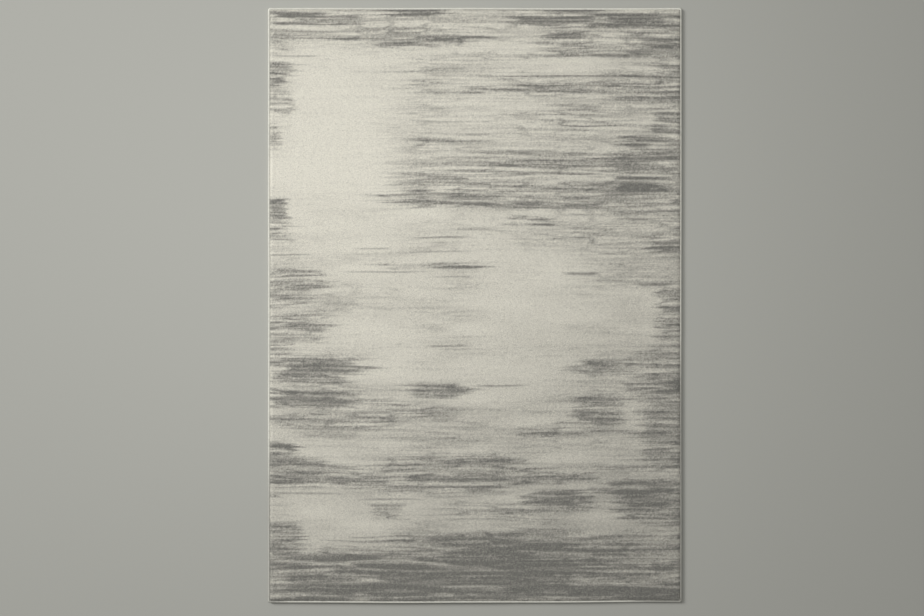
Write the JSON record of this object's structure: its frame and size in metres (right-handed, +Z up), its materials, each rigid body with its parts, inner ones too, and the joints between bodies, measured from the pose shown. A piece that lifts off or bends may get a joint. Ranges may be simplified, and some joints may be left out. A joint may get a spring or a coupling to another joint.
{
  "type": "area rug",
  "caption": "Rectangular cut-pile area rug in mottled cream and grey, on a woven ground with a backing cloth, its corded edges overcast in ivory yarn.",
  "frame": {"origin": "on the floor, under the centre of the rug", "axes": "+Z up out of the pile, +Y along the rug's length towards its head end, +X across its width to the right"},
  "size_m": [1.6, 2.3, 0.012],
  "materials": {
    "pile": "matte",
    "ground": "matte",
    "latex": "satin",
    "backing": "matte",
    "label": "satin",
    "overcast": "matte",
    "cord": "matte"
  },
  "bodies": {
    "root": {"pile_field": "pile", "ground_weave": "ground", "latex_coat": "latex", "backing_cloth": "backing", "care_label": "label", "overcast_left": "overcast", "overcast_right": "overcast", "overcast_head": "overcast", "overcast_foot": "overcast", "edge_cord_left": "cord", "edge_cord_right": "cord", "edge_cord_head": "cord", "edge_cord_foot": "cord", "corner_wrap_head_left": "overcast", "corner_wrap_head_right": "overcast", "corner_wrap_foot_left": "overcast", "corner_wrap_foot_right": "overcast"}
  },
  "joints": []
}
